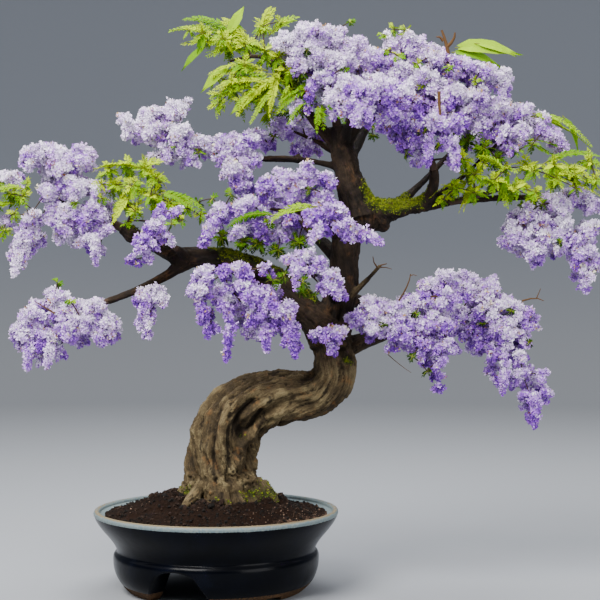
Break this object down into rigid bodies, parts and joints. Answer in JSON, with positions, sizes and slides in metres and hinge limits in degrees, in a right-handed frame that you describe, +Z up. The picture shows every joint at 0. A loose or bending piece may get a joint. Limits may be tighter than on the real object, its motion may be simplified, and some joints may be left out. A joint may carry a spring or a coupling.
{
  "type": "jacaranda bonsai in a pot",
  "caption": "Jacaranda grown as a bonsai: a bent trunk forks into boughs with drooping masses of lilac blossom and lime leaves, in a round dark glazed pot on scalloped feet.",
  "frame": {"origin": "on the table, under the middle of the whole plant's bounding box", "axes": "+X to the right along the crown's widest reach, +Y away from the viewer, +Z up"},
  "size_m": [0.7174, 0.3236, 0.6669],
  "materials": {
    "pot_glaze": "gloss, near-black navy glaze with a pale blue-grey lip and bare clay feet",
    "soil": "matt, loose and crumbly",
    "bark": "matt, ridged bark",
    "blossom": "matt, soft petals",
    "leaf": "satin young leaves"
  },
  "bodies": {
    "root": {"pot": "pot_glaze", "soil": "soil", "trunk": "bark", "bough_back_left": "bark", "bough_back_low": "bark", "bough_back_mid": "bark", "bough_back_right": "bark", "bough_back_top": "bark", "bough_centre_left": "bark", "bough_front_centre": "bark", "bough_front_low": "bark", "bough_inner": "bark", "bough_left": "bark", "bough_left_hang": "bark", "bough_left_inner": "bark", "bough_left_leafy": "bark", "bough_left_low": "bark", "bough_left_spur": "bark", "bough_left_tip": "bark", "bough_low_front": "bark", "bough_low_right": "bark", "bough_right": "bark", "bough_right_far": "bark", "bough_right_rise": "bark", "bough_shoulder": "bark", "bough_snag": "bark", "bough_stub": "bark", "bough_top": "bark", "bough_top_front": "bark", "bough_top_left": "bark", "bough_upper_far": "bark", "bough_upper_left": "bark", "blossom_back_centre": "blossom", "blossom_back_left": "blossom", "blossom_back_low": "blossom", "blossom_back_right": "blossom", "blossom_back_top": "blossom", "blossom_centre": "blossom", "blossom_drop": "blossom", "blossom_front": "blossom", "blossom_hang": "blossom", "blossom_inner": "blossom", "blossom_left": "blossom", "blossom_left_inner": "blossom", "blossom_low_far": "blossom", "blossom_low_inner": "blossom", "blossom_low_left": "blossom", "blossom_low_right": "blossom", "blossom_low_spur": "blossom", "blossom_right_fall": "blossom", "blossom_shoulder": "blossom", "blossom_top": "blossom", "blossom_top_front": "blossom", "blossom_top_left": "blossom", "blossom_trunk_front": "blossom", "blossom_upper_inner": "blossom", "blossom_upper_left": "blossom", "leaves_left": "leaf", "leaves_right": "leaf", "leaves_top_left": "leaf"}
  },
  "joints": []
}
